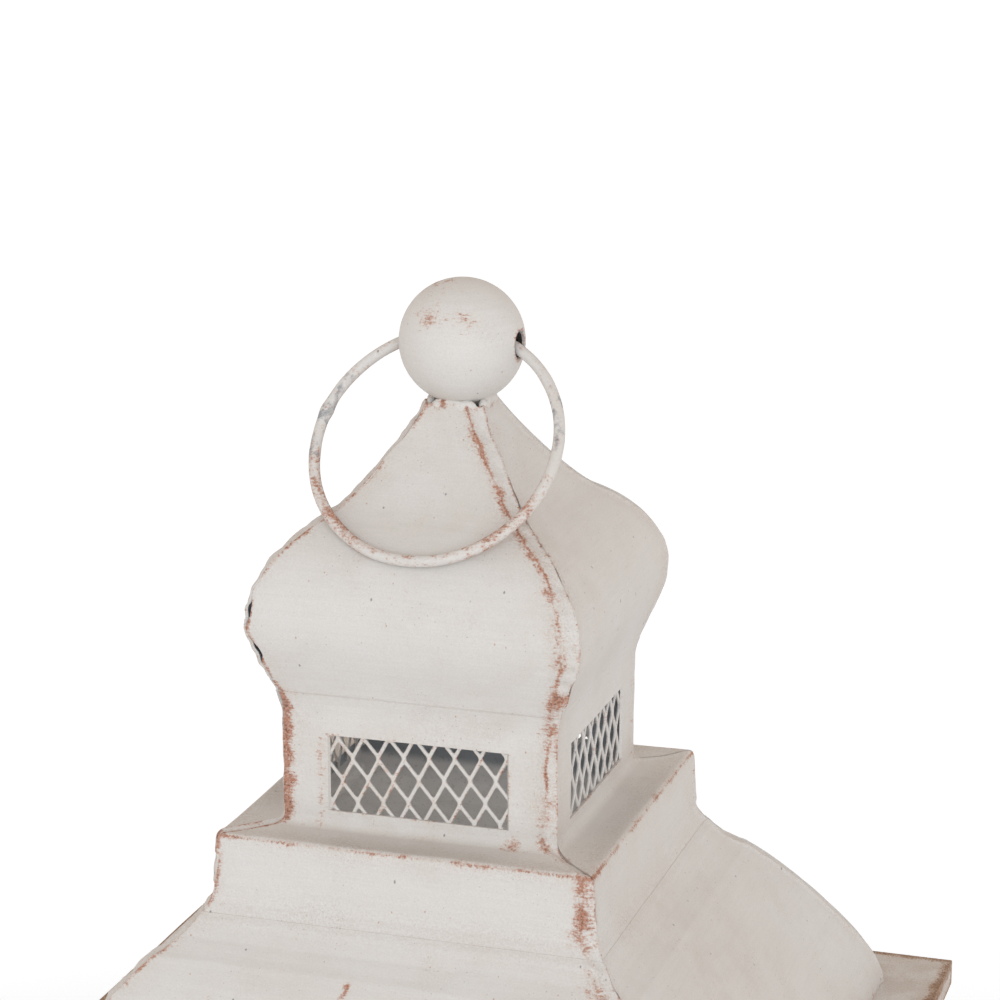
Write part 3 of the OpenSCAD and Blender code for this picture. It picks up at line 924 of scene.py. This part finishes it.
def mesh_strands(k, angle):
    """The expanded metal's strands and knuckles, as overlapping bars about the window's middle."""
    points, faces = [], []
    for row in range(-ROWS_OUT, ROWS_OUT + 1):
        for column in range(-COLUMNS_OUT, COLUMNS_OUT + 1):
            x = (column + 0.5 * (row % 2)) * PITCH_X
            z = row * PITCH_Z / 2
            jog = 0.18 * wave(3 + k, column * 0.9, row * 0.7)
            for lean in (-1, 1):
                start = spun(x + jog, z + 0.5, angle)
                end = spun(x + lean * PITCH_X / 2 + jog, z + PITCH_Z / 2 - 0.5, angle)
                strand = clipped(start, end, MESH_HW, MESH_HH)
                if strand:
                    a, b = (Vector((q[0], 0.14 * wave(5 + k, q[0] / 9, q[1] / 9), q[1])) for q in strand)
                    beam(points, faces, a, b, STRAND_W, STRAND_T, lean * STRAND_TWIST)
            low, high = spun(x + jog, z - KNUCKLE, angle), spun(x + jog, z + KNUCKLE, angle)
            knuckle = clipped(low, high, MESH_HW, MESH_HH)
            if knuckle:
                a, b = (Vector((q[0], 0, q[1])) for q in knuckle)
                beam(points, faces, a, b, STRAND_W * 1.15, STRAND_T * 1.05, 0)
    return points, faces


def vent_mesh(k):
    """The expanded metal behind a window, rusty along one flank of some strands."""
    angle = math.radians(MESH_TURN[k])
    points, faces = remeshed(f"vent_{k}", *mesh_strands(k, angle))
    centre_z = SHELF_Z + SILL + WINDOW_H / 2
    turn = turned_to_side(k)
    placed, wear, bare = [], [], []
    for p in points:
        flat_x, flat_z = spun(p.x, p.z, -angle)
        strand = flat_x / PITCH_X - flat_z / PITCH_Z
        beside = (strand - round(strand)) * PITCH_X * 0.86
        line_rust = (0.42 + 0.5 * wave(13 + k, round(strand) * 1.7, flat_z / 12)) * streak(beside - 0.55, 0.4)
        patch = wave(7 + k, p.x / 7, p.z / 7)
        placed.append(turn @ Vector((p.x, p.y - MESH_DEPTH, centre_z + p.z)))
        wear.append(clamp(max(0.14 + 0.30 * patch, line_rust)))
        bare.append(clamp(0.12 + 0.3 * wave(9 + k, p.x / 5, p.z / 5) + 0.2 * p.y))
    piece = make_piece(f"expanded_metal_{SIDES[k]}", placed, faces, [PAINT_WIRE],
                       smooth_angle=60, wear=wear, bare=bare)
    stand_for(piece, f"vent_mesh_{SIDES[k]}")


# ---------------------------------------------------------------- finial and ring

# rubbed places on the ball: each a point from the ball's centre, a strength and a reach
BALL_SCUFFS = (((-4.5, -16.3, 11.0), 0.50, 5.0),
               ((-7.0, -3.0, 19.0), 0.40, 8.0),
               ((7.0, -16.1, 10.1), 0.50, 4.0))
HOLE_LIP = 0.35
HOLE_DEPTH = 0.75


def at_ball(point):
    """A point given from the ball's centre, with the holes' axis along x."""
    return Matrix.Rotation(math.radians(-RING_TURN), 3, "Z") @ point + Vector((0, 0, BALL_Z))


def finial_ball():
    """A hollow ball, turned about the axis of its two holes, whose edges are rolled a little."""
    count, around = 56, 84
    opening = math.asin(HOLE_R / BALL_R)
    angles = [opening + (math.pi - 2 * opening) * i / count for i in range(count + 1)]
    inside_r = BALL_R - BALL_WALL
    outer = [(BALL_R * math.sin(a), BALL_R * math.cos(a)) for a in angles]
    inner = [(inside_r * math.sin(a), inside_r * math.cos(a)) for a in reversed(angles)]
    outer[0] = (outer[0][0] + HOLE_LIP, outer[0][1] - 0.06)
    outer[-1] = (outer[-1][0] + HOLE_LIP, outer[-1][1] + 0.06)
    outline = [(HOLE_R, BALL_R - HOLE_DEPTH)] + outer + [(HOLE_R, HOLE_DEPTH - BALL_R)] + inner
    points, faces, wear, bare = [], [], [], []
    for i, (radius, height) in enumerate(outline):
        for q in range(around):
            a = 2 * math.pi * q / around
            p = Vector((height, radius * math.cos(a), radius * math.sin(a)))
            points.append(at_ball(p * (1 + 0.0045 * wave(17, p.y / 13, p.x / 13))))
            off_hole = math.hypot(p.y, p.z) - HOLE_R
            scuffs = [strength * streak(math.dist(p, at), reach) for at, strength, reach in BALL_SCUFFS]
            wear.append(clamp(max(0.62 * streak(off_hole, 1.6), *scuffs) + 0.04))
            bare.append(clamp(0.55 * streak(off_hole, 0.7)))
            j, n = (i + 1) % len(outline), (q + 1) % around
            faces.append((i * around + q, i * around + n, j * around + n, j * around + q))
    piece = make_piece("ball_shell", points, faces, [PAINT], smooth_angle=35, wear=wear, bare=bare)
    stand_for(piece, "finial_ball")


def by_angle(a, degrees, reach):
    """1 at a place round the ring, fading out over a reach in millimetres."""
    return streak(math.remainder(a - math.radians(degrees), 2 * math.pi) * RING_R, reach)


def handle_ring():
    """The ring's wire, a little uneven, rusty low down, with a blob where its ends were welded."""
    around, sides = 260, 18
    thinner = 0.05
    lean = Matrix.Rotation(math.radians(-RING_LEAN), 3, "X")
    points, wear, bare = [], [], []
    for i in range(around):
        a = 2 * math.pi * i / around
        x, z = math.cos(a), math.sin(a)
        weld = by_angle(a, 168, 2.4)
        bow = 0.22 * wave(23, 2.2 * x, 2.2 * z)
        thick = WIRE_R * (1 + 0.035 * wave(25, 9 * x, 9 * z)) + 0.42 * weld - thinner
        rusty = 0.52 * by_angle(a, 224, 19) + 0.50 * by_angle(a, 316, 14)
        chipped = by_angle(a, 172, 24) + by_angle(a, 14, 20)
        for j in range(sides):
            b = 2 * math.pi * j / sides
            radius = RING_R + bow + thick * math.cos(b)
            flat = Vector((radius * x, thick * math.sin(b), radius * z - RING_DROP))
            points.append(at_ball(lean @ flat))
            patch = wave(27, 7 * x + math.cos(b), 7 * z + math.sin(b))
            inner = 0.5 - 0.5 * math.cos(b)
            wear.append(clamp(0.20 + rusty * (0.5 + 0.6 * inner) + 0.28 * patch + 0.2 * weld))
            bare.append(clamp(0.02 + 0.40 * chipped + 0.35 * patch))
    faces = [((i + 1) % around * sides + j, (i + 1) % around * sides + (j + 1) % sides,
              i * sides + (j + 1) % sides, i * sides + j) for i in range(around) for j in range(sides)]
    piece = make_piece("ring_wire", points, faces, [PAINT_WIRE], wear=wear, bare=bare)
    stand_for(piece, "handle_ring")


def finial_solder():
    """Uneven runs of solder between the neck's edges and the ball, with a rust spot on the front one."""
    half_length, depth, height = 7.6, 2.2, 3.0
    points, faces, wear = [], [], []
    for k in range(4):
        ball = bmesh.new()
        bmesh.ops.create_icosphere(ball, subdivisions=5, radius=1)
        first = len(points)
        turn = turned_to_side(k)
        for v in ball.verts:
            lump = 1 + 0.28 * wave(33 + k, v.co.x * 3.4, v.co.z * 2)
            lump += 0.10 * wave(37 + k, v.co.x * 9, v.co.z * 9)
            x = half_length * v.co.x + 0.5 * wave(39 + k, 1)
            out = 0.8 + depth * clamp(v.co.y, -0.72, 1) * lump
            up = height * v.co.z * lump - 0.7
            points.append(turn @ Vector((x, out - NECK[0], SHELF_Z + NECK[1] + up)))
            spot = 0.75 * streak(x + 3.2, 1.3) if k == 0 else 0
            wear.append(clamp(0.20 + 0.25 * wave(35 + k, x / 3) + spot))
        faces.extend(tuple(first + v.index for v in f.verts) for f in ball.faces)
        ball.free()
    piece = make_piece("solder_runs", points, faces, [PAINT_FITTING], wear=wear)
    stand_for(piece, "finial_solder")


# ---------------------------------------------------------------- the other pieces, from their CAD shapes

SHARP = math.radians(28)
MARK_STEP = 1.5
THIN = 2.5


def edge_marks(edges):
    """Points along the edges, each with whether its edge lies level."""
    marks = []
    for e in edges:
        a, b = (v.co.copy() for v in e.verts)
        count = max(1, round((b - a).length / (MARK_STEP * MM)))
        level = abs((b - a).normalized().z) < 0.5
        marks += [(a.lerp(b, i / count), level) for i in range(count + 1)]
    return marks


def cut_places(low, high, step):
    """Where to cut a length: close to both ends, and evenly between."""
    near = [q for q in (1.0, 2.6) if q < (high - low) / 3]
    count = max(1, round((high - low) / step))
    places = [low + q for q in near] + [high - q for q in near]
    places += [low + (high - low) * i / count for i in range(1, count)]
    return sorted(places)


def divide(bm, step):
    """Cuts a mesh across its length, depth and height, so that its points can carry wear."""
    low = Vector([min(v.co[q] for v in bm.verts) for q in range(3)]) / MM
    high = Vector([max(v.co[q] for v in bm.verts) for q in range(3)]) / MM
    for axis in range(3):
        normal = Vector([1.0 if q == axis else 0.0 for q in range(3)])
        if high[axis] - low[axis] < THIN:
            continue
        for place in cut_places(low[axis], high[axis], step):
            bmesh.ops.bisect_plane(bm, geom=bm.verts[:] + bm.edges[:] + bm.faces[:], dist=1e-6,
                                   plane_co=normal * place * MM, plane_no=normal)
    bmesh.ops.triangulate(bm, faces=bm.faces[:])


def refined(node, material=None, step=7.0, rounding=0.3, rub=0.55, width=1.8, wavy=0.0, grime=0.0):
    """A copy of a CAD node with rounded edges, a finer skin and its wear marked along its edges."""
    bm = bmesh.new()
    bm.from_mesh(frame["nodes"][node].data)
    bmesh.ops.remove_doubles(bm, verts=bm.verts, dist=0.01 * MM)
    bmesh.ops.dissolve_limit(bm, angle_limit=math.radians(1), verts=bm.verts, edges=bm.edges)
    sharp = [e for e in bm.edges if len(e.link_faces) == 2 and e.calc_face_angle(0) > SHARP]
    marks = edge_marks(sharp)
    bmesh.ops.bevel(bm, geom=sharp, offset=rounding * MM, segments=2, profile=0.5, affect="EDGES",
                    clamp_overlap=True)
    divide(bm, step)
    tree = kdtree.KDTree(max(1, len(marks)))
    for index, (point, _) in enumerate(marks):
        tree.insert(point, index)
    tree.balance()
    seed = sum(map(ord, node)) % 89
    points, wear, lie, soil = [], [], [], []
    for v in bm.verts:
        p = v.co / MM
        rubbed, level, dirt = 0.0, 0.0, 0.0
        if marks:
            _, index, distance = tree.find(v.co)
            patch = noise.noise(p / 13 + Vector((seed, 0, 0)))
            rubbed = (rub + 0.42 * patch) * streak(distance / MM, width)
            level = 1.0 if marks[index][1] else 0.0
            dirt = 0.85 * streak(distance / MM, 9)
        if wavy:
            p = p + v.normal * wavy * noise.noise(p / 32 + Vector((0, seed, 0)))
        points.append(p)
        wear.append(clamp(rubbed))
        lie.append(level)
        soil.append(clamp(dirt + grime))
    faces = [tuple(v.index for v in f.verts) for f in bm.faces]
    bm.free()
    piece = make_piece(node + "_skin", points, faces, [material or FINISH[SLOT_OF[node]]],
                       smooth_angle=32, wear=wear, lie=lie, soil=soil)
    stand_for(piece, node)


def roof_and_finial():
    for k in range(4):
        roof_panel(k)
        vent_mesh(k)
    finial_ball()
    finial_solder()
    handle_ring()


def body_shell():
    refined("eave_plate", PAINT_PLATE, step=5, rounding=0.45, rub=0.98, width=3.2, wavy=0.25, grime=0.8)
    refined("base_plate", step=8, rounding=0.45, rub=0.66, width=2.2, wavy=0.2)
    refined("floor_plate", step=10, rub=0.3, wavy=0.15)
    for corner in CORNERS:
        refined(f"corner_post_{corner}", step=8, rounding=0.35, rub=0.60, width=1.7, wavy=0.12)
    for side in SIDES:
        refined(f"top_rail_{side}", step=8, rub=0.40, wavy=0.1)
        refined(f"bottom_rail_{side}", step=8, rub=0.48, wavy=0.1)
        refined(f"base_skirt_{side}", step=6, rounding=0.2, rub=0.55, width=1.8)
    for side in SIDES[1:]:
        refined(f"glass_pane_{side}", step=12, rounding=0.25)
        refined(f"glass_clips_{side}", step=3, rounding=0.15, rub=0.25)


def door_pieces():
    for part in ("stile_hinge_side", "stile_latch_side", "rail_top", "rail_bottom"):
        refined(f"door_{part}", step=8, rounding=0.3, rub=0.58, width=1.6, wavy=0.08)
    refined("door_glass", step=12, rounding=0.25)
    refined("door_glass_clips", step=3, rounding=0.15, rub=0.25)
    refined("door_stops", step=3, rounding=0.15, rub=0.25)
    for place in ("upper", "lower"):
        refined(f"hinge_{place}_post_leaf", step=3, rounding=0.12, rub=0.55, width=1.2)
        refined(f"hinge_{place}_door_leaf", step=3, rounding=0.12, rub=0.55, width=1.2)
        refined(f"hinge_{place}_pin", step=3, rounding=0.12, rub=0.3)
    refined("latch_lever", step=2.5, rounding=0.25, rub=0.6, width=1.1)
    refined("latch_rivet", step=2.5, rounding=0.2, rub=0.6, width=1.0)
    refined("door_knob", step=2.5, rounding=0.2, rub=0.5, width=1.4)


def feet_and_candle():
    for corner in CORNERS:
        refined(f"foot_{corner}", step=3, rounding=0.2, rub=0.5)
    refined("candle_dish", step=4, rounding=0.15, rub=0.2)
    refined("candle_spike", step=3, rounding=0.1, rub=0.2)


camera()
lights()
floor()
roof_and_finial()
body_shell()
door_pieces()
feet_and_candle()
